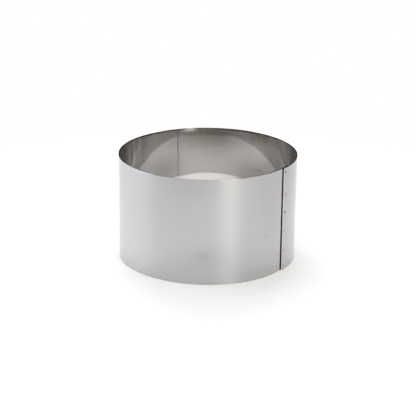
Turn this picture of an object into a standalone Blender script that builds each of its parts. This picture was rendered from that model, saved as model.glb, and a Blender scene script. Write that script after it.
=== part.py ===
"""Cake ring: one strip of stainless sheet, rolled round and spot-welded where its ends lap.

Units are metres. +Z is up, and the origin is on the ring's axis at its base. Angles round the ring
are counted from the front (-Y) towards +X, so the lap seam sits to the right of the front.
"""

import math

import bmesh
import bpy
from mathutils import Vector

# The ring and its sheet
OUTER_RADIUS = 0.050
RING_HEIGHT = 0.0593
SHEET_THICKNESS = 0.0008
EDGE_ROUND = 0.00012
CORNER_ROUND = 0.0006
CORNER_PROFILE_SHARE = 0.5

# The lap seam: the strip's outer end lies over its inner end
SEAM_ANGLE = math.radians(55.9)
LAP_WIDTH = 0.0052
LAP_GAP = 0.0001

# The strip dips inwards ahead of the seam and levels out just under its outer end
DIP_LENGTH = 0.036
DIP_UNDER_LAP = 0.0012
DIP_TURN_SHARE = 0.7

# The spot welds down the lap, from the base up
WELD_RADIUS = 0.0009
WELD_SEAT_GAP = 0.0003
WELD_SINK = 0.00008
WELD_DISH_DEPTH = 0.00007
WELD_DISH_SHARE = 0.7
WELD_HEIGHT_SHARES = (0.0455, 0.197, 0.3815, 0.57, 0.741, 0.957)
WELD_LAP_SHARES = (0.31, 0.3, 0.31, 0.3, 0.345, 0.32)

# How finely the round shapes are cut
ROUND_FACETS = 132
DIP_FACETS = 20
LAP_FACETS = 5
CORNER_FACETS = 4
EDGE_FACETS = 2
WELD_FACETS = 24
SMOOTH_BELOW_ANGLE = math.radians(30)
EDGE_ANGLE = math.radians(60)

# How far a cutter runs past the metal that it cuts
CUT_OVERRUN = 0.001

STEEL_METALLIC = 1.0
SHEET_STEEL = {"name": "sheet_steel", "colour": (0.56, 0.56, 0.55, 1.0), "roughness": 0.16}
WELD_STEEL = {"name": "weld_steel", "colour": (0.36, 0.34, 0.32, 1.0), "roughness": 0.38}

# Sizes that follow from the ones above
FULL_TURN = math.tau
LAP_STEP = SHEET_THICKNESS + LAP_GAP
LAP_ANGLE = LAP_WIDTH / OUTER_RADIUS
DIP_START_ANGLE = FULL_TURN - (DIP_LENGTH - DIP_UNDER_LAP) / OUTER_RADIUS
DIP_END_ANGLE = FULL_TURN + DIP_UNDER_LAP / OUTER_RADIUS
STRIP_END_ANGLE = FULL_TURN + LAP_ANGLE
WELD_LENGTH = LAP_STEP + SHEET_THICKNESS - 2 * WELD_SINK


def clear_scene():
    """Removes every object that the scene starts with."""
    for existing in list(bpy.data.objects):
        bpy.data.objects.remove(existing, do_unlink=True)


def make_material(recipe):
    """A Principled material from a finish's recipe."""
    material = bpy.data.materials.new(recipe["name"])
    material.use_nodes = True
    shader = material.node_tree.nodes["Principled BSDF"]
    shader.inputs["Base Color"].default_value = recipe["colour"]
    shader.inputs["Metallic"].default_value = STEEL_METALLIC
    shader.inputs["Roughness"].default_value = recipe["roughness"]
    return material


def outward(angle):
    """Unit vector from the axis towards an angle round the ring."""
    return Vector((math.sin(angle), -math.cos(angle), 0.0))


def dip_share(along):
    """How much of its full dip the strip has taken, at an angle along it from its outer end.

    Two arcs that meet where the strip turns: it bends in, then it bends back level.
    """
    gone = (along - DIP_START_ANGLE) / (DIP_END_ANGLE - DIP_START_ANGLE)
    gone = min(max(gone, 0.0), 1.0)
    if gone < DIP_TURN_SHARE:
        return gone * gone / DIP_TURN_SHARE
    return 1 - (1 - gone) ** 2 / (1 - DIP_TURN_SHARE)


def sheet_place(along):
    """Point on the sheet's outer face at the base, at an angle along the strip."""
    return outward(SEAM_ANGLE + along) * (OUTER_RADIUS - LAP_STEP * dip_share(along))


def spread(first, last, count):
    """The places that split a stretch evenly, without its last one."""
    return [first + (last - first) * step / count for step in range(count)]


def strip_stations():
    """Angles along the strip from its outer end, closer together where it dips and laps."""
    return (
        spread(0.0, DIP_START_ANGLE, ROUND_FACETS)
        + spread(DIP_START_ANGLE, DIP_END_ANGLE, DIP_FACETS)
        + spread(DIP_END_ANGLE, STRIP_END_ANGLE, LAP_FACETS)
        + [STRIP_END_ANGLE]
    )


def link(name, work, material, parent):
    """Turns a finished bmesh into a named object of the scene."""
    mesh = bpy.data.meshes.new(name)
    work.to_mesh(mesh)
    work.free()
    mesh.shade_smooth()
    mesh.set_sharp_from_angle(angle=SMOOTH_BELOW_ANGLE)
    made = bpy.data.objects.new(name, mesh)
    bpy.context.scene.collection.objects.link(made)
    made.parent = parent
    if material is not None:
        mesh.materials.append(material)
    return made


def make_band(material, parent):
    """The strip: one sheet of metal, rolled round with its two ends lapped."""
    work = bmesh.new()
    base = [work.verts.new(sheet_place(along)) for along in strip_stations()]
    base_edges = [work.edges.new(pair) for pair in zip(base, base[1:])]
    raised = bmesh.ops.extrude_edge_only(work, edges=base_edges)["geom"]
    upper = [item for item in raised if isinstance(item, bmesh.types.BMVert)]
    bmesh.ops.translate(work, verts=upper, vec=(0.0, 0.0, RING_HEIGHT))
    work.normal_update()
    inside_out = [face for face in work.faces if face.normal.dot(face.calc_center_median()) < 0]
    bmesh.ops.reverse_faces(work, faces=inside_out)
    corners = [vert for vert in work.verts if len(vert.link_edges) == 2]
    bmesh.ops.bevel(
        work,
        geom=corners,
        offset=CORNER_ROUND,
        segments=CORNER_FACETS,
        profile=CORNER_PROFILE_SHARE,
        affect="VERTICES",
    )
    band = link("ring_band", work, material, parent)

    solidify = band.modifiers.new("sheet_thickness", "SOLIDIFY")
    solidify.thickness = SHEET_THICKNESS
    solidify.offset = -1.0
    solidify.use_even_offset = True

    bevel = band.modifiers.new("deburred_edges", "BEVEL")
    bevel.width = EDGE_ROUND
    bevel.segments = EDGE_FACETS
    bevel.limit_method = "ANGLE"
    bevel.angle_limit = EDGE_ANGLE
    return band


def round_slug(radius, length):
    """A round slug along Z, centred on its own origin."""
    work = bmesh.new()
    bmesh.ops.create_cone(
        work, cap_ends=True, segments=WELD_FACETS, radius1=radius, radius2=radius, depth=length
    )
    return work


def set_through_lap(piece, height_share, lap_share):
    """Places a slug through both layers of the lap, square to the sheet."""
    axis = outward(SEAM_ANGLE + LAP_ANGLE * lap_share)
    middle_radius = OUTER_RADIUS - WELD_SINK - WELD_LENGTH / 2
    piece.location = axis * middle_radius + Vector((0.0, 0.0, RING_HEIGHT * height_share))
    piece.rotation_euler = axis.to_track_quat("Z", "Y").to_euler()


def make_spot_weld(number, height_share, lap_share, material, parent):
    """One spot weld: a slug through both layers, dished at each end by the electrodes."""
    work = round_slug(WELD_RADIUS, WELD_LENGTH)
    rim_width = WELD_RADIUS * (1 - WELD_DISH_SHARE)
    for end in [face for face in work.faces if len(face.verts) == WELD_FACETS]:
        bmesh.ops.inset_region(work, faces=[end], thickness=rim_width, use_even_offset=True)
        bmesh.ops.translate(work, verts=end.verts, vec=-end.normal * WELD_DISH_DEPTH)
    weld = link(f"spot_weld_{number}", work, material, parent)
    set_through_lap(weld, height_share, lap_share)


def cut_weld_seat(number, height_share, lap_share, band, parent):
    """Cuts the seat of one spot weld through both layers of the band."""
    work = round_slug(WELD_RADIUS + WELD_SEAT_GAP, WELD_LENGTH + 2 * CUT_OVERRUN)
    cutter = link(f"weld_seat_cutter_{number}", work, None, parent)
    cutter.hide_render = True
    cutter.display_type = "WIRE"
    set_through_lap(cutter, height_share, lap_share)
    cut = band.modifiers.new(f"weld_seat_{number}", "BOOLEAN")
    cut.operation = "DIFFERENCE"
    cut.solver = "EXACT"
    cut.object = cutter


def main():
    """Builds the ring's band and its spot welds."""
    clear_scene()
    sheet_steel = make_material(SHEET_STEEL)
    weld_steel = make_material(WELD_STEEL)
    ring = bpy.data.objects.new("cake_ring", None)
    bpy.context.scene.collection.objects.link(ring)
    band = make_band(sheet_steel, ring)
    places = zip(WELD_HEIGHT_SHARES, WELD_LAP_SHARES)
    for number, (height_share, lap_share) in enumerate(places, start=1):
        cut_weld_seat(number, height_share, lap_share, band, ring)
        make_spot_weld(number, height_share, lap_share, weld_steel, ring)


main()
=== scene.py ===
"""Cake ring in bright annealed stainless steel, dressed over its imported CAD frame.

The ring is one strip of sheet, and the scene makes it as a workshop does: a flat blank is cut, its edges
are deburred, it is rolled round, and its lapped ends are spot-welded. A plain studio follows.
Lengths are in metres. Angles round the ring are counted from the front (-Y) towards +X.
"""

import logging
import math
from dataclasses import dataclass, field
from enum import Enum

import bmesh
import bpy
from mathutils import Matrix, Vector


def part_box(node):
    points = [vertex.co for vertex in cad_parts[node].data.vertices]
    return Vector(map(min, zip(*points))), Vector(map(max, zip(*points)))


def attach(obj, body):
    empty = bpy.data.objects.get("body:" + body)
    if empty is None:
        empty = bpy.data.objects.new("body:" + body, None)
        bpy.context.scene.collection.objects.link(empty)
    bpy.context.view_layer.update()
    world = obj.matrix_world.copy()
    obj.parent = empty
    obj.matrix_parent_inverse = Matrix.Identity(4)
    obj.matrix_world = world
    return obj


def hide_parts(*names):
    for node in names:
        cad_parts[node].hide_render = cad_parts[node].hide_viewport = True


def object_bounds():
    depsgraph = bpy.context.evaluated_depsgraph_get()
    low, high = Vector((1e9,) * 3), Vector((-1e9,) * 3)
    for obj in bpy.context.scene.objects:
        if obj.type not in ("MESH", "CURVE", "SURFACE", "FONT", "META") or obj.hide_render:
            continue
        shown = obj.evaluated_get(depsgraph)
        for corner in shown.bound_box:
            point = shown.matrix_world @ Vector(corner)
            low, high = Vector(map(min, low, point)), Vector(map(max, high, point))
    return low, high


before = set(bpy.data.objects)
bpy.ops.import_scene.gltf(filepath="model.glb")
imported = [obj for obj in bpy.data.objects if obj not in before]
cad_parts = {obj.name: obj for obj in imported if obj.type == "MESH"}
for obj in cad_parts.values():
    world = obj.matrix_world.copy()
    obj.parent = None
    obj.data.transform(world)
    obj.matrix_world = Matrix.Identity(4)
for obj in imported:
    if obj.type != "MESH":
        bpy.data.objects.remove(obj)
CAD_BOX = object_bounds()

MM = 0.001
LOG = logging.getLogger("cake_ring")

# The attribute that says how deep in the sheet a point lies: 0 on the outer face, 1 on the inner
DEPTH_NAME = "depth_share"

# Light at the far sides of the inside is mirrored this often before it leaves the ring
MIRROR_BOUNCES = 12

# Noise hardly leaves this range
NOISE_LOW, NOISE_HIGH = 0.25, 0.75
FINE_DETAIL, RAGGED_DETAIL = 2.0, 3.0

# A quarter turn: the steel spreads most of what it mirrors up and down
UPRIGHT_SPREAD = 0.25

# The sockets of the node that mixes colours
MIX_SHARE, MIX_FROM, MIX_TO, MIX_RESULT = 0, 6, 7, 2

# What counts as flat and as an edge on the blank, and what is shaded as one surface
FLAT_FACE = 0.999
BLANK_EDGE = math.radians(60)
SMOOTH_BELOW = math.radians(40)
ROUND_PROFILE = 0.5


class Slot(Enum):
    """The record's material slots."""

    SHEET = "sheet_steel"
    WELD = "weld_steel"


class Side(Enum):
    """The strip's surfaces, by the number of their material on the band."""

    OUTER = 0
    INNER = 1
    END = 2
    RIM = 3

    @classmethod
    def of(cls, normal: Vector) -> "Side":
        """Finds the side of the flat blank that a face belongs to.

        Args:
            normal: The face's normal.

        Returns:
            The side.
        """
        if abs(normal.y) < FLAT_FACE:
            return cls.RIM if abs(normal.z) > abs(normal.x) else cls.END
        return cls.OUTER if normal.y > 0 else cls.INNER


class NuggetEnd(Enum):
    """A weld nugget's two ends, by the way that each faces along it."""

    OUTER = 1
    INNER = -1


def linear(code: str) -> tuple[float, float, float, float]:
    """Turns an sRGB hex colour into linear light.

    Args:
        code: The colour as "#rrggbb".

    Returns:
        Red, green, blue and an alpha of 1.
    """
    shares = [int(code[start:start + 2], 16) / 255 for start in (1, 3, 5)]
    red, green, blue = (s / 12.92 if s <= 0.04045 else ((s + 0.055) / 1.055) ** 2.4 for s in shares)
    return red, green, blue, 1.0


def outward(angle: float) -> Vector:
    """Unit vector from the ring's axis towards an angle round it."""
    return Vector((math.sin(angle), -math.cos(angle), 0.0))


def eased(share: float) -> float:
    """A share from 0 to 1 that starts and ends gently."""
    return share * share * (3 - 2 * share)


def add_node(
    tree: bpy.types.NodeTree, kind: str, inputs: dict | None = None, **options: object
) -> bpy.types.Node:
    """Adds a node with its options, values and links.

    Args:
        tree: The tree that gets the node.
        kind: The node's type, such as "ShaderNodeTexNoise".
        inputs: Input name or number, with its value or the output that feeds it.
        options: Settings of the node itself.

    Returns:
        The new node.
    """
    node = tree.nodes.new(kind)
    for name, value in options.items():
        setattr(node, name, value)
    for key, value in (inputs or {}).items():
        if isinstance(value, bpy.types.NodeSocket):
            tree.links.new(value, node.inputs[key])
        else:
            node.inputs[key].default_value = value
    return node


def new_material(name: str) -> tuple[bpy.types.Material, bpy.types.NodeTree]:
    """Makes an empty node material.

    Args:
        name: The material's name.

    Returns:
        The material and its node tree.
    """
    material = bpy.data.materials.new(name)
    material.use_nodes = True
    material.node_tree.nodes.clear()
    return material, material.node_tree


@dataclass(frozen=True)
class Polish:
    """One part of the steel's reflection: how far, and how unevenly, it spreads what it mirrors."""

    roughness: float
    anisotropy: float = 0.0

    def build(self, tree: bpy.types.NodeTree, tone: str | bpy.types.NodeSocket) -> bpy.types.Node:
        """Adds the metal shader for this polish, which spreads most up and down.

        Args:
            tree: The material's tree.
            tone: The metal's colour as sRGB hex, or the output that gives it.

        Returns:
            The shader node.
        """
        grain = add_node(tree, "ShaderNodeTangent", direction_type="RADIAL", axis="Z")
        return add_node(
            tree,
            "ShaderNodeBsdfPrincipled",
            {
                "Base Color": linear(tone) if isinstance(tone, str) else tone,
                "Metallic": 1.0,
                "Roughness": self.roughness,
                "Anisotropic": self.anisotropy,
                "Anisotropic Rotation": UPRIGHT_SPREAD,
                "Tangent": grain.outputs["Tangent"],
            },
        )


@dataclass(frozen=True)
class SoftMark:
    """A soft-edged place on the steel, for greasy smudges, rubs, painted shade and painted light.

    Noise breaks up a ragged mark. One that lies inside_by deeper than the face marks only the lap's
    lower layer.
    """

    round_deg: float
    height: float
    half_width: float
    half_height: float
    strength: float
    ragged: bool = True
    inside_by: float = 0.0

    def build(
        self, tree: bpy.types.NodeTree, place: bpy.types.NodeSocket, radius: float
    ) -> bpy.types.Node:
        """Adds the nodes that say how strong this mark is.

        Args:
            tree: The material's tree.
            place: The output that gives the place on the ring.
            radius: The radius of the face that carries the mark.

        Returns:
            The node whose result is the mark's strength, fading to 0 at its edge.
        """
        shape = Vector((1 / self.half_width, 1 / self.half_width, 1 / self.half_height))
        middle = outward(math.radians(self.round_deg)) * (radius - self.inside_by)
        middle.z = self.height
        scaled = add_node(tree, "ShaderNodeVectorMath", {0: place, 1: shape}, operation="MULTIPLY")
        away = add_node(
            tree,
            "ShaderNodeVectorMath",
            {0: scaled.outputs["Vector"], 1: middle * shape},
            operation="DISTANCE",
        )
        return add_node(
            tree,
            "ShaderNodeMapRange",
            {"Value": away.outputs["Value"], "From Min": 0.0, "To Min": self.strength, "To Max": 0.0},
            interpolation_type="SMOOTHSTEP",
        )


@dataclass(frozen=True)
class BrightAnnealedSheet:
    """Type 304 stainless sheet, cold rolled and bright annealed.

    Annealing in clean gas keeps the rolls' polish, so the sheet mirrors sharply. The fine lines that the
    rolls leave along the strip add a haze, which smears what it mirrors across the lines, up and down.
    Greasy smudges from handling and baking take some of the light, and warm what is left. The same warm
    darkening is also laid as painted shade, and a dark line along the foot is painted contact shade.
    Upright streaks of a lighter tone are painted light, and rubbing at one spot adds to the haze.
    """

    name: str = "bright_annealed_steel"
    tone: str = "#bababa"
    clear: Polish = Polish(0.07)
    hazy: Polish = Polish(0.44, 0.85)
    haze_share: float = 0.32
    line_unevenness: float = 0.005
    # The real lines are about 0.02 mm apart, too fine to show, so they are drawn coarser
    line_pitch: float = 0.4 * MM
    line_length: float = 30 * MM
    face_radius: float = 50 * MM
    # Tone of greasy smudges, also used for painted shade
    grease_and_shade_tone: str = "#857d73"
    marks: tuple[SoftMark, ...] = ()
    mark_drift: float = 5 * MM
    mark_grain: float = 9 * MM
    # Painted contact shade: how dark the line along the foot is, and how high it reaches
    foot_shade: float = 0.5
    foot_shade_height: float = 0.8 * MM
    rubs: tuple[SoftMark, ...] = ()
    # Painted light: the tone that upright streaks are lightened towards
    painted_light_tone: str = "#e6e5e5"
    painted_lights: tuple[SoftMark, ...] = ()
    streak_pitch: float = 4 * MM
    streak_length: float = 45 * MM
    streak_starts: float = 0.4
    streak_full: float = 0.56

    def build(self) -> bpy.types.Material:
        """Makes the sheet's material.

        Returns:
            The material.
        """
        material, tree = new_material(self.name)
        place = add_node(tree, "ShaderNodeTexCoord")
        # The tone carries greasy smudges, painted shade and painted light
        tone = self.greased_and_shaded_tone(tree, place.outputs["Object"])
        tone = self.lightened_tone(tree, place.outputs["Object"], tone)
        stretched = add_node(
            tree,
            "ShaderNodeMapping",
            {"Vector": place.outputs["Object"], "Scale": self.line_scale()},
        )
        lines = add_node(
            tree,
            "ShaderNodeTexNoise",
            {"Vector": stretched.outputs["Vector"], "Scale": 1.0, "Detail": FINE_DETAIL},
        )
        haze = add_node(
            tree,
            "ShaderNodeMapRange",
            {
                "Value": lines.outputs["Fac"],
                "From Min": NOISE_LOW,
                "From Max": NOISE_HIGH,
                "To Min": self.haze_share - self.line_unevenness,
                "To Max": self.haze_share + self.line_unevenness,
            },
        )
        steel = add_node(
            tree,
            "ShaderNodeMixShader",
            {
                0: self.rubbed_haze(tree, place.outputs["Object"], haze.outputs["Result"]),
                1: self.clear.build(tree, tone).outputs["BSDF"],
                2: self.hazy.build(tree, tone).outputs["BSDF"],
            },
        )
        add_node(tree, "ShaderNodeOutputMaterial", {"Surface": steel.outputs["Shader"]})
        return material

    def greased_and_shaded_tone(
        self, tree: bpy.types.NodeTree, place: bpy.types.NodeSocket
    ) -> bpy.types.NodeSocket:
        """Adds the nodes that darken the steel's tone: greasy smudges, painted shade, and painted
        contact shade at its foot.

        Args:
            tree: The material's tree.
            place: The output that gives the place on the ring.

        Returns:
            The output that gives the tone.
        """
        ragged = add_node(
            tree,
            "ShaderNodeTexNoise",
            {"Vector": place, "Scale": 1 / self.mark_grain, "Detail": RAGGED_DETAIL},
        )
        noise_middle = ((NOISE_LOW + NOISE_HIGH) / 2,) * 3
        drift = add_node(
            tree,
            "ShaderNodeVectorMath",
            {0: ragged.outputs["Color"], 1: noise_middle},
            operation="SUBTRACT",
        )
        moved = add_node(
            tree,
            "ShaderNodeVectorMath",
            {0: drift.outputs["Vector"], 1: (self.mark_drift,) * 3, 2: place},
            operation="MULTIPLY_ADD",
        )
        # Painted contact shade, fading out upwards from the foot
        parts = add_node(tree, "ShaderNodeSeparateXYZ", {"Vector": place})
        foot = add_node(
            tree,
            "ShaderNodeMapRange",
            {
                "Value": parts.outputs["Z"],
                "From Max": self.foot_shade_height,
                "To Min": self.foot_shade,
                "To Max": 0.0,
            },
            interpolation_type="SMOOTHSTEP",
        )
        grease_and_shade = foot.outputs["Result"]
        # Each mark darkens the tone further, as a greasy smudge or as painted shade
        for mark in self.marks:
            spot = moved.outputs["Vector"] if mark.ragged else place
            smudge_and_shade = mark.build(tree, spot, self.face_radius)
            total = add_node(
                tree,
                "ShaderNodeMath",
                {0: smudge_and_shade.outputs["Result"], 1: grease_and_shade},
                operation="ADD",
                use_clamp=True,
            )
            grease_and_shade = total.outputs["Value"]
        mixed = add_node(
            tree,
            "ShaderNodeMix",
            {MIX_SHARE: grease_and_shade, MIX_FROM: linear(self.tone), MIX_TO: linear(self.grease_and_shade_tone)},
            data_type="RGBA",
        )
        return mixed.outputs[MIX_RESULT]

    def rubbed_haze(
        self, tree: bpy.types.NodeTree, place: bpy.types.NodeSocket, haze: bpy.types.NodeSocket
    ) -> bpy.types.NodeSocket:
        """Adds the nodes that make the sheet hazier where it was rubbed.

        Args:
            tree: The material's tree.
            place: The output that gives the place on the ring.
            haze: The output that gives the haze of untouched sheet.

        Returns:
            The output that gives the haze.
        """
        for mark in self.rubs:
            rub = mark.build(tree, place, self.face_radius)
            total = add_node(
                tree,
                "ShaderNodeMath",
                {0: rub.outputs["Result"], 1: haze},
                operation="ADD",
                use_clamp=True,
            )
            haze = total.outputs["Value"]
        return haze

    def lightened_tone(
        self, tree: bpy.types.NodeTree, place: bpy.types.NodeSocket, tone: bpy.types.NodeSocket
    ) -> bpy.types.NodeSocket:
        """Adds the nodes of painted light, which lighten the steel's tone in upright streaks.

        Args:
            tree: The material's tree.
            place: The output that gives the place on the ring.
            tone: The output that gives the tone before the painted light.

        Returns:
            The output that gives the tone.
        """
        if not self.painted_lights:
            return tone
        upright = add_node(
            tree,
            "ShaderNodeMapping",
            {
                "Vector": place,
                "Scale": (1 / self.streak_pitch, 1 / self.streak_pitch, 1 / self.streak_length),
            },
        )
        streak_noise = add_node(
            tree,
            "ShaderNodeTexNoise",
            {"Vector": upright.outputs["Vector"], "Scale": 1.0, "Detail": FINE_DETAIL},
        )
        streaks = add_node(
            tree,
            "ShaderNodeMapRange",
            {
                "Value": streak_noise.outputs["Fac"],
                "From Min": self.streak_starts,
                "From Max": self.streak_full,
            },
        )
        # Painted light: each mark lightens the tone, in streaks where it is ragged
        for mark in self.painted_lights:
            lightening = mark.build(tree, place, self.face_radius)
            share = add_node(
                tree,
                "ShaderNodeMath",
                {
                    0: lightening.outputs["Result"],
                    1: streaks.outputs["Result"] if mark.ragged else 1.0,
                },
                operation="MULTIPLY",
                use_clamp=True,
            )
            mixed = add_node(
                tree,
                "ShaderNodeMix",
                {
                    MIX_SHARE: share.outputs["Value"],
                    MIX_FROM: tone,
                    MIX_TO: linear(self.painted_light_tone),
                },
                data_type="RGBA",
            )
            tone = mixed.outputs[MIX_RESULT]
        return tone

    def line_scale(self) -> tuple[float, float, float]:
        """Noise cells per metre: long round the ring, fine up it."""
        return 1 / self.line_length, 1 / self.line_length, 1 / self.line_pitch


@dataclass(frozen=True)
class ShearedEdge:
    """The sheet's cut edges, as the shears leave them.

    The blade first rubs the metal bright and then tears it, so an edge is shiny next to the outer
    face, and dull and dark over the rest of the sheet's thickness. The torn part's very dark tone is
    also painted shade, of the gap at the lap and along the top rim.
    """

    name: str = "sheared_steel_end"
    burnished: Polish = Polish(0.13)
    burnished_tone: str = "#cfcdca"
    torn: Polish = Polish(0.6)
    # Partly painted shade: darker than torn steel, for the shade in the lap's gap and along the rim
    torn_and_shade_tone: str = "#2b2826"
    tear_starts: float = 0.50
    tear_full: float = 0.62
    tear_wander: float = 0.25
    # A real tear's grain is about 0.05 mm, so it is drawn coarser
    grain: float = 0.35 * MM
    rubbed: SoftMark | None = None
    rubbed_radius: float = 49.5 * MM

    def build(self) -> bpy.types.Material:
        """Makes the cut edges' material.

        Returns:
            The material.
        """
        material, tree = new_material(self.name)
        depth = add_node(tree, "ShaderNodeAttribute", attribute_name=DEPTH_NAME)
        place = add_node(tree, "ShaderNodeTexCoord")
        grains = add_node(
            tree,
            "ShaderNodeTexNoise",
            {"Vector": place.outputs["Object"], "Scale": 1 / self.grain, "Detail": FINE_DETAIL},
        )
        wander = add_node(
            tree,
            "ShaderNodeMapRange",
            {
                "Value": grains.outputs["Fac"],
                "From Min": NOISE_LOW,
                "From Max": NOISE_HIGH,
                "To Min": -self.tear_wander / 2,
                "To Max": self.tear_wander / 2,
            },
        )
        reached = add_node(
            tree,
            "ShaderNodeMath",
            {0: depth.outputs["Fac"], 1: wander.outputs["Result"]},
            operation="ADD",
        )
        tear = add_node(
            tree,
            "ShaderNodeMapRange",
            {
                "Value": reached.outputs["Value"],
                "From Min": self.tear_starts,
                "From Max": self.tear_full,
            },
            interpolation_type="SMOOTHSTEP",
        )
        torn = tear.outputs["Result"]
        if self.rubbed:
            rub = self.rubbed.build(tree, place.outputs["Object"], self.rubbed_radius)
            kept = add_node(
                tree, "ShaderNodeMath", {0: 1.0, 1: rub.outputs["Result"]}, operation="SUBTRACT"
            )
            worn = add_node(
                tree, "ShaderNodeMath", {0: torn, 1: kept.outputs["Value"]}, operation="MULTIPLY"
            )
            torn = worn.outputs["Value"]
        steel = add_node(
            tree,
            "ShaderNodeMixShader",
            {
                0: torn,
                1: self.burnished.build(tree, self.burnished_tone).outputs["BSDF"],
                2: self.torn.build(tree, self.torn_and_shade_tone).outputs["BSDF"],
            },
        )
        add_node(tree, "ShaderNodeOutputMaterial", {"Surface": steel.outputs["Shader"]})
        return material


@dataclass(frozen=True)
class WeldedSpot:
    """Steel that was melted and pressed between two electrodes, left as welded.

    The electrode's turned tip prints fine rings, and the heat leaves a dull brown stain in the middle.
    The broad electrode inside the ring stays cooler, so the stain is faint there.
    """

    name: str = "spot_welded_steel"
    tone: str = "#b8b5b1"
    clean_roughness: float = 0.2
    stain_tone: str = "#958e86"
    stain_roughness: float = 0.4
    stain_full: float = 0.45 * MM
    stain_ends: float = 1.0 * MM
    stain_wander: float = 0.35 * MM
    stain_inside: float = 0.2
    outer_above: float = -0.5 * MM
    inner_below: float = -1.2 * MM
    grain: float = 0.3 * MM
    ring_pitch: float = 0.12 * MM
    ring_depth: float = 0.006 * MM

    def build(self) -> bpy.types.Material:
        """Makes the weld nuggets' material.

        Returns:
            The material.
        """
        material, tree = new_material(self.name)
        place = add_node(tree, "ShaderNodeTexCoord")
        flat = add_node(
            tree,
            "ShaderNodeVectorMath",
            {0: place.outputs["Object"], 1: (1.0, 1.0, 0.0)},
            operation="MULTIPLY",
        )
        away = add_node(
            tree, "ShaderNodeVectorMath", {0: flat.outputs["Vector"]}, operation="LENGTH"
        )
        grains = add_node(
            tree,
            "ShaderNodeTexNoise",
            {"Vector": place.outputs["Object"], "Scale": 1 / self.grain, "Detail": FINE_DETAIL},
        )
        reached = add_node(
            tree,
            "ShaderNodeMath",
            {0: grains.outputs["Fac"], 1: self.stain_wander, 2: away.outputs["Value"]},
            operation="MULTIPLY_ADD",
        )
        stain = add_node(
            tree,
            "ShaderNodeMapRange",
            {
                "Value": reached.outputs["Value"],
                "From Min": self.stain_ends + self.stain_wander / 2,
                "From Max": self.stain_full + self.stain_wander / 2,
            },
            interpolation_type="SMOOTHSTEP",
        )
        parts = add_node(tree, "ShaderNodeSeparateXYZ", {"Vector": place.outputs["Object"]})
        share = add_node(
            tree,
            "ShaderNodeMapRange",
            {
                "Value": parts.outputs["Z"],
                "From Min": self.inner_below,
                "From Max": self.outer_above,
                "To Min": self.stain_inside,
            },
        )
        burnt = add_node(
            tree,
            "ShaderNodeMath",
            {0: stain.outputs["Result"], 1: share.outputs["Result"]},
            operation="MULTIPLY",
        )
        tone = add_node(
            tree,
            "ShaderNodeMix",
            {
                MIX_SHARE: burnt.outputs["Value"],
                MIX_FROM: linear(self.tone),
                MIX_TO: linear(self.stain_tone),
            },
            data_type="RGBA",
        )
        rough = add_node(
            tree,
            "ShaderNodeMapRange",
            {
                "Value": burnt.outputs["Value"],
                "To Min": self.clean_roughness,
                "To Max": self.stain_roughness,
            },
        )
        turned = add_node(
            tree,
            "ShaderNodeMath",
            {0: away.outputs["Value"], 1: self.ring_pitch / 2},
            operation="PINGPONG",
        )
        printed = add_node(
            tree,
            "ShaderNodeBump",
            {"Height": turned.outputs["Value"], "Distance": self.ring_depth / (self.ring_pitch / 2)},
        )
        steel = add_node(
            tree,
            "ShaderNodeBsdfPrincipled",
            {
                "Base Color": tone.outputs[MIX_RESULT],
                "Metallic": 1.0,
                "Roughness": rough.outputs["Result"],
                "Normal": printed.outputs["Normal"],
            },
        )
        add_node(tree, "ShaderNodeOutputMaterial", {"Surface": steel.outputs["BSDF"]})
        return material


@dataclass(frozen=True)
class SweepPaper:
    """White background paper: matt, and shown as white wherever nothing shades it.

    Its own light keeps it white to the lens and in the steel, and grows towards the paper's rim, where
    the lamps fade.
    """

    tone: str = "#f4f4f4"
    fill: float = 0.44
    mirrored_fill: float = 0.59
    fade_starts: float = 130 * MM
    fade_full: float = 230 * MM
    fade_fill: float = 0.35

    def build(self) -> bpy.types.Material:
        """Makes the floor's material.

        Returns:
            The material.
        """
        material, tree = new_material("white_sweep_paper")
        paper = add_node(tree, "ShaderNodeBsdfDiffuse", {"Color": linear(self.tone)})
        ray = add_node(tree, "ShaderNodeLightPath")
        seen = add_node(
            tree,
            "ShaderNodeMath",
            {0: ray.outputs["Is Camera Ray"], 1: self.fill},
            operation="MULTIPLY",
        )
        level = add_node(
            tree,
            "ShaderNodeMath",
            {0: ray.outputs["Is Glossy Ray"], 1: self.mirrored_fill, 2: seen.outputs["Value"]},
            operation="MULTIPLY_ADD",
        )
        place = add_node(tree, "ShaderNodeTexCoord")
        away = add_node(
            tree, "ShaderNodeVectorMath", {0: place.outputs["Object"]}, operation="LENGTH"
        )
        fade = add_node(
            tree,
            "ShaderNodeMapRange",
            {
                "Value": away.outputs["Value"],
                "From Min": self.fade_starts,
                "From Max": self.fade_full,
                "To Max": self.fade_fill,
            },
            interpolation_type="SMOOTHSTEP",
        )
        outer = add_node(
            tree,
            "ShaderNodeMath",
            {
                0: ray.outputs["Is Camera Ray"],
                1: fade.outputs["Result"],
                2: level.outputs["Value"],
            },
            operation="MULTIPLY_ADD",
        )
        glow = add_node(tree, "ShaderNodeEmission", {"Strength": outer.outputs["Value"]})
        both = add_node(
            tree, "ShaderNodeAddShader", {0: paper.outputs["BSDF"], 1: glow.outputs["Emission"]}
        )
        add_node(tree, "ShaderNodeOutputMaterial", {"Surface": both.outputs["Shader"]})
        return material


@dataclass(frozen=True)
class RimLean:
    """A stretch of wall that leans towards its top rim: out where depth is above 0, and in below 0."""

    middle_deg: float
    full_deg: float
    none_deg: float
    depth: float
    reach: float

    def at(self, angle: float, below_rim: float) -> tuple[float, float]:
        """How the wall stands at a place.

        Args:
            angle: The angle round the ring.
            below_rim: How far the place is under the top rim.

        Returns:
            How far the face stands inside its true circle, and how steeply that grows with height.
        """
        off = abs(math.degrees(angle) % 360 - self.middle_deg)
        share = min(max((self.none_deg - off) / (self.none_deg - self.full_deg), 0.0), 1.0)
        depth = self.depth * eased(share)
        up = max(1 - below_rim / self.reach, 0.0)
        return max(depth, 0.0) - depth * up * up, -2 * depth * up / self.reach


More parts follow.
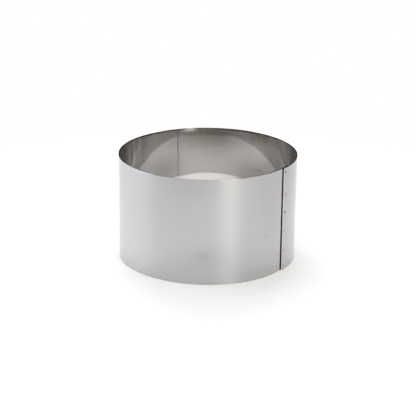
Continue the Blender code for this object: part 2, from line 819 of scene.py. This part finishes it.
@dataclass
class RolledStrip:
    """The strip: cut flat, deburred, rolled round, with its ends lapped.

    In the flat blank, X runs along the strip from its outer end, Y is 0 on the outer face and
    negative into the sheet, and Z is the height.
    """

    radius: float
    height: float
    sheet: float = 0.8 * MM
    edge_round: float = 0.12 * MM
    corner_round: float = 0.6 * MM
    seam_angle: float = math.radians(55.9)
    lap_width: float = 5.2 * MM
    lap_gap: float = 0.1 * MM
    dip_length: float = 36 * MM
    dip_under_lap: float = 1.2 * MM
    dip_turn_share: float = 0.7
    wave_depths: tuple[float, ...] = (0.016 * MM, 0.008 * MM, 0.003 * MM, 0.0014 * MM, 0.001 * MM)
    wave_counts: tuple[int, ...] = (7, 12, 23, 41, 67)
    wave_starts: tuple[float, ...] = (0.4, 2.1, 4.0, 1.3, 5.2)
    leans: tuple[RimLean, ...] = (
        RimLean(180, 9, 19, 0.045 * MM, 12.5 * MM),
        RimLean(219, 19, 27, -0.094 * MM, 40 * MM),
    )
    coarse_pitch: float = 1.0 * MM
    fine_pitch: float = 0.5 * MM
    row_pitch: float = 5.0 * MM
    seat_radius: float = 1.18 * MM
    seat_sides: int = 48
    cutter_length: float = 2.4 * MM
    corner_facets: int = 6
    edge_facets: int = 3
    normal_reach: float = 0.05 * MM
    holes: list[tuple[float, float]] = field(default_factory=list)

    @property
    def turn(self) -> float:
        """Length of one whole turn along the outer face."""
        return math.tau * self.radius

    @property
    def step(self) -> float:
        """How far the inner layer's outer face lies inside the outer layer's."""
        return self.sheet + self.lap_gap

    def dip_share(self, along: float) -> float:
        """How far the strip has dipped to pass under its outer end.

        Args:
            along: The place along the strip.

        Returns:
            The share of the full dip, from 0 to 1.
        """
        end = self.turn + self.dip_under_lap
        gone = min(max((along - end) / self.dip_length + 1, 0.0), 1.0)
        if gone < self.dip_turn_share:
            return gone * gone / self.dip_turn_share
        return 1 - (1 - gone) ** 2 / (1 - self.dip_turn_share)

    def waviness(self, angle: float) -> float:
        """How far the rolled sheet sags inside a true circle, at an angle round the ring."""
        waves = zip(self.wave_depths, self.wave_counts, self.wave_starts)
        return sum(depth * (1 + math.sin(count * angle + start)) for depth, count, start in waves)

    def lean(self, along: float, height: float) -> tuple[float, float]:
        """How the wall leans at a place of the strip.

        Args:
            along: The place along the strip.
            height: The place's height.

        Returns:
            How far the wall stands in, and how steeply that grows with height.
        """
        angle = self.seam_angle + along / self.radius
        found = [lean.at(angle, self.height - height) for lean in self.leans]
        return sum(inset for inset, _ in found), sum(steepness for _, steepness in found)

    def face_point(self, along: float) -> Vector:
        """Point of the outer face at the base."""
        angle = self.seam_angle + along / self.radius
        return outward(angle) * (
            self.radius - self.waviness(angle) - self.step * self.dip_share(along)
        )

    def face_normal(self, along: float) -> Vector:
        """Outward normal of the outer face."""
        run = self.face_point(along + self.normal_reach) - self.face_point(along - self.normal_reach)
        return Vector((run.y, -run.x, 0.0)).normalized()

    def columns(self) -> list[float]:
        """Sets out the blank's columns, closer together near its two ends.

        Returns:
            Their places along the strip, from its outer end.
        """
        end = self.turn + self.lap_width
        stops = (0.0, self.lap_width, end - self.lap_width - self.dip_length, end)
        places = [0.0]
        for first, last, pitch in zip(
            stops, stops[1:], (self.fine_pitch, self.coarse_pitch, self.fine_pitch)
        ):
            count = math.ceil((last - first) / pitch)
            places += [first + (last - first) * step / count for step in range(1, count + 1)]
        return places

    def rows(self) -> list[float]:
        """Heights of the blank's rows."""
        count = round(self.height / self.row_pitch)
        return [self.height * step / count for step in range(count + 1)]

    def flat_blank(self) -> bpy.types.Object:
        """Cuts the flat blank, with round corners and deburred edges.

        Returns:
            The blank.
        """
        work = bmesh.new()
        grid = [[work.verts.new((x, 0.0, z)) for z in self.rows()] for x in self.columns()]
        for left, right in zip(grid, grid[1:]):
            for low in range(len(left) - 1):
                work.faces.new((left[low], right[low], right[low + 1], left[low + 1]))
        corners = [vert for vert in work.verts if len(vert.link_edges) == 2]
        bmesh.ops.bevel(
            work,
            geom=corners,
            offset=self.corner_round,
            segments=self.corner_facets,
            profile=ROUND_PROFILE,
            affect="VERTICES",
        )
        bmesh.ops.reverse_faces(work, faces=work.faces)
        inner = bmesh.ops.extrude_face_region(work, geom=list(work.faces))["geom"]
        inner_verts = [item for item in inner if isinstance(item, bmesh.types.BMVert)]
        bmesh.ops.translate(work, verts=inner_verts, vec=(0.0, -self.sheet, 0.0))
        bmesh.ops.recalc_face_normals(work, faces=work.faces)
        sharp = [edge for edge in work.edges if edge.calc_face_angle(0.0) > BLANK_EDGE]
        bmesh.ops.bevel(
            work,
            geom=sharp,
            offset=self.edge_round,
            segments=self.edge_facets,
            profile=ROUND_PROFILE,
            affect="EDGES",
        )
        return self.to_object(work, "cake_ring_band")

    def seat_cutters(self) -> bpy.types.Object:
        """Makes the round cutters for the weld seats, through each end of the blank.

        Returns:
            The cutters, as one object.
        """
        work = bmesh.new()
        for along, height in self.holes:
            for place in (along, self.turn + along):
                middle = Matrix.Translation((place, -self.sheet / 2, height))
                bmesh.ops.create_cone(
                    work,
                    cap_ends=True,
                    segments=self.seat_sides,
                    radius1=self.seat_radius,
                    radius2=self.seat_radius,
                    depth=self.cutter_length,
                    matrix=middle @ Matrix.Rotation(math.pi / 2, 4, "X"),
                )
        return self.to_object(work, "seat_cutters")

    @staticmethod
    def to_object(work: bmesh.types.BMesh, name: str) -> bpy.types.Object:
        """Turns a finished bmesh into an object of the scene.

        Args:
            work: The mesh being worked on, which is freed.
            name: The object's name.

        Returns:
            The new object.
        """
        mesh = bpy.data.meshes.new(name)
        work.to_mesh(mesh)
        work.free()
        made = bpy.data.objects.new(name, mesh)
        bpy.context.scene.collection.objects.link(made)
        return made

    def cut_seats(self, blank: bpy.types.Object) -> None:
        """Cuts the weld seats out of the flat blank.

        Args:
            blank: The blank.
        """
        cutters = self.seat_cutters()
        cut = blank.modifiers.new("seats", "BOOLEAN")
        cut.object = cutters
        cut.solver = "EXACT"
        graph = bpy.context.evaluated_depsgraph_get()
        cut_mesh = bpy.data.meshes.new_from_object(blank.evaluated_get(graph))
        blank.modifiers.clear()
        blank.data = cut_mesh
        bpy.data.objects.remove(cutters, do_unlink=True)

    def roll(self, blank: bpy.types.Object) -> None:
        """Rolls the blank round, and gives its faces the true normals of the rolled sheet.

        Args:
            blank: The blank, with its seats cut.
        """
        mesh = blank.data
        sides = [Side.of(poly.normal) for poly in mesh.polygons]
        flat = [vert.co.copy() for vert in mesh.vertices]
        for vert, place in zip(mesh.vertices, flat):
            inset = place.y - self.lean(place.x, place.z)[0]
            rolled = self.face_point(place.x) + self.face_normal(place.x) * inset
            vert.co = (rolled.x, rolled.y, place.z)
        depth = mesh.attributes.new(DEPTH_NAME, "FLOAT", "POINT")
        depth.data.foreach_set("value", [-place.y / self.sheet for place in flat])
        mesh.flip_normals()
        for poly, side in zip(mesh.polygons, sides):
            poly.material_index = side.value
        mesh.shade_smooth()
        mesh.set_sharp_from_angle(angle=SMOOTH_BELOW)
        facing = {Side.OUTER: 1, Side.INNER: -1}
        vert_facing = {}
        for poly, side in zip(mesh.polygons, sides):
            if side in facing:
                for index in poly.vertices:
                    vert_facing[index] = facing[side]
        normals = []
        for poly in mesh.polygons:
            for index in poly.vertices:
                if index in vert_facing:
                    normal = self.face_normal(flat[index].x)
                    normal.z = self.lean(flat[index].x, flat[index].z)[1]
                    normals.append(tuple(normal.normalized() * vert_facing[index]))
                else:
                    normals.append((0.0, 0.0, 0.0))
        mesh.normals_split_custom_set(normals)

    def build(self, finishes: dict[Side, bpy.types.Material]) -> bpy.types.Object:
        """Makes the rolled band.

        Args:
            finishes: The material of each of the strip's surfaces.

        Returns:
            The band, in the CAD's place.
        """
        band = self.flat_blank()
        self.cut_seats(band)
        self.roll(band)
        for side in Side:
            band.data.materials.append(finishes[side])
        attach(band, "root")
        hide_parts("ring_band")
        return band


@dataclass
class WeldNugget:
    """One spot weld: a slug through both layers, pressed in at each end by an electrode."""

    number: int
    along: float
    height: float
    strip: RolledStrip
    radius: float = 1.16 * MM
    outer_dent: float = 0.03 * MM
    inner_dent: float = 0.012 * MM
    dent_share: float = 0.62
    dome_share: float = 0.25
    rings: int = 9
    sides: int = 48

    def dent(self, share: float, end: NuggetEnd) -> float:
        """Depth of the electrode's dent, at a share of the nugget's radius from its middle.

        Args:
            share: The share of the nugget's radius.
            end: The nugget's end.

        Returns:
            The depth below the sheet's face.
        """
        depth = self.outer_dent if end is NuggetEnd.OUTER else self.inner_dent
        if share <= self.dent_share:
            return depth * (1 - self.dome_share * (share / self.dent_share) ** 2)
        run = (share - self.dent_share) / (1 - self.dent_share)
        return (1 - self.dome_share) * depth * (1 - eased(run))

    def build(self, steel: bpy.types.Material) -> bpy.types.Object:
        """Makes the nugget in its seat.

        Args:
            steel: The nugget's material.

        Returns:
            The nugget, with its origin on the outer face.
        """
        strip = self.strip
        angle = strip.seam_angle + self.along / strip.radius
        through = strip.step + strip.sheet
        work = bmesh.new()
        outer = [
            self.circle(work, ring / self.rings, 0.0, NuggetEnd.OUTER)
            for ring in range(1, self.rings + 1)
        ]
        inner = [
            self.circle(work, ring / self.rings, -through, NuggetEnd.INNER)
            for ring in range(self.rings, 0, -1)
        ]
        chain = outer + inner
        for first, second in zip(chain, chain[1:]):
            for side in range(self.sides):
                after = (side + 1) % self.sides
                work.faces.new((first[side], second[side], second[after], first[after]))
        top = work.verts.new((0.0, 0.0, -self.dent(0.0, NuggetEnd.OUTER)))
        bottom = work.verts.new((0.0, 0.0, -through + self.dent(0.0, NuggetEnd.INNER)))
        for side in range(self.sides):
            after = (side + 1) % self.sides
            work.faces.new((top, outer[0][side], outer[0][after]))
            work.faces.new((bottom, inner[-1][after], inner[-1][side]))
        bmesh.ops.recalc_face_normals(work, faces=work.faces)
        nugget = RolledStrip.to_object(work, f"weld_nugget_{self.number}")
        nugget.data.shade_smooth()
        nugget.data.set_sharp_from_angle(angle=SMOOTH_BELOW)
        nugget.data.materials.append(steel)
        across = Vector((math.cos(angle), math.sin(angle), 0.0))
        turned = Matrix((across, Vector((0.0, 0.0, 1.0)), outward(angle))).transposed()
        place = outward(angle) * (strip.radius - strip.waviness(angle))
        place.z = self.height
        nugget.matrix_world = Matrix.Translation(place) @ turned.to_4x4()
        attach(nugget, "root")
        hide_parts(f"spot_weld_{self.number}")
        return nugget

    def circle(
        self, work: bmesh.types.BMesh, share: float, level: float, end: NuggetEnd
    ) -> list[bmesh.types.BMVert]:
        """Adds one ring of points to an end of the nugget.

        Args:
            work: The mesh being made.
            share: The ring's radius, as a share of the nugget's.
            level: Where that end's face lies along the nugget.
            end: The nugget's end.

        Returns:
            The ring's points in order.
        """
        points = []
        for side in range(self.sides):
            turn = math.tau * side / self.sides
            x = math.cos(turn) * share * self.radius
            y = math.sin(turn) * share * self.radius
            bend = math.sqrt(self.strip.radius ** 2 - x * x) - self.strip.radius
            sunk = end.value * self.dent(share, end)
            points.append(work.verts.new((x, y, level + bend - sunk)))
        return points


@dataclass(frozen=True)
class Softbox:
    """A soft lamp with a flat face, which stands at an angle round the ring and looks at it."""

    name: str
    round_deg: float
    away: float
    up: float
    width: float
    height: float
    watts: float
    tone: str = "#ffffff"

    def build(self) -> bpy.types.Object:
        """Places the lamp, unseen by the camera itself.

        Returns:
            The lamp.
        """
        data = bpy.data.lights.new(self.name, "AREA")
        data.shape = "RECTANGLE"
        data.size = self.width
        data.size_y = self.height
        data.energy = self.watts
        data.color = linear(self.tone)[:3]
        lamp = bpy.data.objects.new(self.name, data)
        bpy.context.scene.collection.objects.link(lamp)
        lamp.location = outward(math.radians(self.round_deg)) * self.away
        lamp.location.z = self.up
        look = Vector((0.0, 0.0, CAD_BOX[1][2] / 2)) - lamp.location
        lamp.rotation_euler = look.to_track_quat("-Z", "Y").to_euler()
        lamp.visible_camera = False
        return lamp


@dataclass
class Studio:
    """White paper floor, a pale surround and soft lamps."""

    floor_radius: float = 0.25
    floor_sides: int = 96
    # Name, place round the ring in degrees, away, up, width, height, watts, tone
    lamps: tuple[Softbox, ...] = (
        Softbox("overhead_soft", 0, 0.001, 0.25, 0.175, 0.175, 0.21, "#fffafc"),
        Softbox("back_key", -175, 0.775, 0.916, 0.9, 0.3, 6.35, "#fefdff"),
        Softbox("right_strip", 27, 0.4, 0.2, 0.14, 0.4, 0.68, "#fffbf2"),
        Softbox("left_card", -100, 0.6, 0.22, 0.6, 0.4, 1.9, "#f2f5ff"),
    )

    def build(self) -> None:
        """Makes the floor, the world and the lamps."""
        self.lay_floor()
        self.light_world()
        for lamp in self.lamps:
            lamp.build()

    def lay_floor(self) -> bpy.types.Object:
        """Lays the round paper floor that the ring stands on.

        Returns:
            The floor.
        """
        work = bmesh.new()
        bmesh.ops.create_circle(
            work, cap_ends=True, segments=self.floor_sides, radius=self.floor_radius
        )
        floor = RolledStrip.to_object(work, "paper_floor")
        floor.location.z = CAD_BOX[0][2]
        floor.data.materials.append(SweepPaper().build())
        return floor

    def light_world(self) -> None:
        """The white room: white to the lens, and white to the steel below the floor's level.

        Above that level it is dark to the steel, and it lights nothing, so the lamps alone do.
        """
        world = bpy.data.worlds.new("white_room")
        bpy.context.scene.world = world
        world.use_nodes = True
        tree = world.node_tree
        tree.nodes.clear()
        ray = add_node(tree, "ShaderNodeLightPath")
        place = add_node(tree, "ShaderNodeTexCoord")
        split = add_node(tree, "ShaderNodeSeparateXYZ", {"Vector": place.outputs["Generated"]})
        below = add_node(
            tree, "ShaderNodeMath", {0: split.outputs["Z"], 1: 0.0}, operation="LESS_THAN"
        )
        mirrored = add_node(
            tree,
            "ShaderNodeMath",
            {0: ray.outputs["Is Glossy Ray"], 1: ray.outputs["Is Transmission Ray"]},
            operation="ADD",
        )
        white_mirrored = add_node(
            tree,
            "ShaderNodeMath",
            {0: mirrored.outputs["Value"], 1: below.outputs["Value"]},
            operation="MULTIPLY",
        )
        shown = add_node(
            tree,
            "ShaderNodeMath",
            {0: ray.outputs["Is Camera Ray"], 1: white_mirrored.outputs["Value"]},
            operation="ADD",
            use_clamp=True,
        )
        white = {"Color": (1.0, 1.0, 1.0, 1.0), "Strength": shown.outputs["Value"]}
        sky = add_node(tree, "ShaderNodeBackground", white)
        add_node(tree, "ShaderNodeOutputWorld", {"Surface": sky.outputs["Background"]})


@dataclass
class ProductCamera:
    """A long lens that looks down on the ring from the front, as the photograph was taken."""

    lens_mm: float = 118.6
    sensor_mm: float = 36.0
    distance: float = 774.9 * MM
    raised_deg: float = 19.12
    middle_height: float = 29.8 * MM
    aim_height: float = 26.4 * MM
    aim_right: float = 0.33 * MM
    roll_deg: float = 0.61

    def build(self) -> bpy.types.Object:
        """Places the camera and makes it the scene's own.

        Returns:
            The camera.
        """
        data = bpy.data.cameras.new("product_camera")
        data.lens = self.lens_mm
        data.sensor_width = self.sensor_mm
        data.sensor_fit = "HORIZONTAL"
        camera = bpy.data.objects.new("product_camera", data)
        bpy.context.scene.collection.objects.link(camera)
        raised = math.radians(self.raised_deg)
        camera.location = (
            0.0,
            -self.distance * math.cos(raised),
            self.middle_height + self.distance * math.sin(raised),
        )
        aim = Vector((self.aim_right, 0.0, self.aim_height))
        look = (aim - camera.location).to_track_quat("-Z", "Y").to_matrix()
        camera.rotation_euler = (look @ Matrix.Rotation(math.radians(self.roll_deg), 3, "Z")).to_euler()
        bpy.context.scene.camera = camera
        return camera


@dataclass
class CakeRing:
    """The whole ring: the rolled strip and the welds down its lap.

    Each mark gives its place round the ring in degrees, its height, half width and half height, and
    its strength.
    """

    weld_height_shares: tuple[float, ...] = (0.0455, 0.197, 0.3815, 0.57, 0.741, 0.957)
    weld_lap_shares: tuple[float, ...] = (0.31, 0.30, 0.31, 0.30, 0.345, 0.32)
    burnt_welds: tuple[int, ...] = (4, 6)
    # The first mark is painted shade: it darkens the top of the front wall, where the floor it mirrors
    # is dimmer. The others are greasy smudges.
    outer_marks: tuple[SoftMark, ...] = (
        SoftMark(-8.0, 58 * MM, 28 * MM, 15 * MM, 0.12),
        SoftMark(-3.4, 16 * MM, 7 * MM, 5 * MM, 0.20),
        SoftMark(40.0, 24 * MM, 3.5 * MM, 3 * MM, 0.15),
        SoftMark(62.5, 51 * MM, 2.2 * MM, 9 * MM, 0.16),
    )
    # All painted shade: darker clouds and bands in what the inside mirrors, a dark line in the lap's
    # inner corner, and dark lines just under the top rim
    inner_marks: tuple[SoftMark, ...] = (
        SoftMark(179.0, 55.0 * MM, 23 * MM, 11 * MM, 0.48),
        SoftMark(180.0, 59.3 * MM, 72 * MM, 15 * MM, 0.30),
        SoftMark(210.0, 37.0 * MM, 16 * MM, 11 * MM, 0.34),
        SoftMark(144.0, 34.5 * MM, 20 * MM, 12 * MM, 0.34),
        SoftMark(130.0, 47.0 * MM, 14 * MM, 16 * MM, 0.20),
        SoftMark(142.5, 36.5 * MM, 5 * MM, 2.5 * MM, 0.22),
        SoftMark(62.4, 45.0 * MM, 1.5 * MM, 62 * MM, 1.0, ragged=False),
        SoftMark(222.0, 59.3 * MM, 36 * MM, 1.3 * MM, 2.0, ragged=False),
        SoftMark(146.0, 59.3 * MM, 34 * MM, 1.3 * MM, 2.0, ragged=False),
        SoftMark(140.0, 59.3 * MM, 14 * MM, 10 * MM, 0.9),
    )
    # Painted highlight: a light stripe on the lap's lower layer, next to the strip's outer end
    outer_painted_lights: tuple[SoftMark, ...] = (
        SoftMark(
            54.4, 30.0 * MM, 0.8 * MM, 90 * MM, 0.75, ragged=False, inside_by=0.9 * MM
        ),
    )
    inner_rubs: tuple[SoftMark, ...] = (
        SoftMark(193.0, 58.5 * MM, 7 * MM, 1.6 * MM, 1.0),
    )
    # Painted light: lighter upright streaks on the dark far sides of the inside, where light is mirrored
    # many times
    inner_painted_lights: tuple[SoftMark, ...] = (
        SoftMark(251.0, 52.0 * MM, 20 * MM, 40 * MM, 1.7),
        SoftMark(109.0, 52.0 * MM, 17 * MM, 40 * MM, 1.0),
    )

    def build(self) -> list[bpy.types.Object]:
        """Makes every piece of the ring.

        Returns:
            The pieces, the band first.
        """
        low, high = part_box("ring_band")
        strip = RolledStrip(radius=(high.y - low.y) / 2, height=high.z - low.z)
        strip.holes = [
            (strip.lap_width * lap, strip.height * up)
            for up, lap in zip(self.weld_height_shares, self.weld_lap_shares)
        ]
        finishes = {
            Side.OUTER: BrightAnnealedSheet(marks=self.outer_marks, painted_lights=self.outer_painted_lights).build(),
            Side.INNER: BrightAnnealedSheet(
                name="bright_annealed_steel_inner",
                # Painted light: a lighter tone than the outer face of the same sheet brightens what the
                # inside mirrors
                tone="#c6c5c3",
                clear=Polish(0.04),
                haze_share=0.14,
                face_radius=strip.radius - strip.sheet,
                marks=self.inner_marks,
                rubs=self.inner_rubs,
                painted_lights=self.inner_painted_lights,
            ).build(),
            Side.END: ShearedEdge().build(),
            Side.RIM: ShearedEdge(
                name="sheared_steel_rim",
                # Painted shade: a darker, wider torn part darkens the line along the top rim
                torn_and_shade_tone="#35312e",
                tear_starts=0.42,
                tear_full=0.54,
                rubbed=SoftMark(192.3, 59.3 * MM, 4.5 * MM, 4.5 * MM, 1.0),
            ).build(),
        }
        pieces = [strip.build(finishes)]
        clean = WeldedSpot().build()
        burnt = WeldedSpot(name="burnt_spot_weld", stain_tone="#3d3731").build()
        for number, (along, height) in enumerate(strip.holes, start=1):
            steel = burnt if number in self.burnt_welds else clean
            pieces.append(WeldNugget(number, along, height, strip).build(steel))
        return pieces


def main() -> None:
    """Builds the camera, the ring and the studio, and reports each piece."""
    logging.basicConfig(level=logging.INFO, format="%(name)s: %(message)s")
    ProductCamera().build()
    for piece in CakeRing().build():
        LOG.info("%s has %d faces", piece.name, len(piece.data.polygons))
    Studio().build()
    bpy.context.scene.view_settings.view_transform = "Standard"
    bpy.context.scene.cycles.glossy_bounces = MIRROR_BOUNCES


if __name__ == "__main__":
    main()
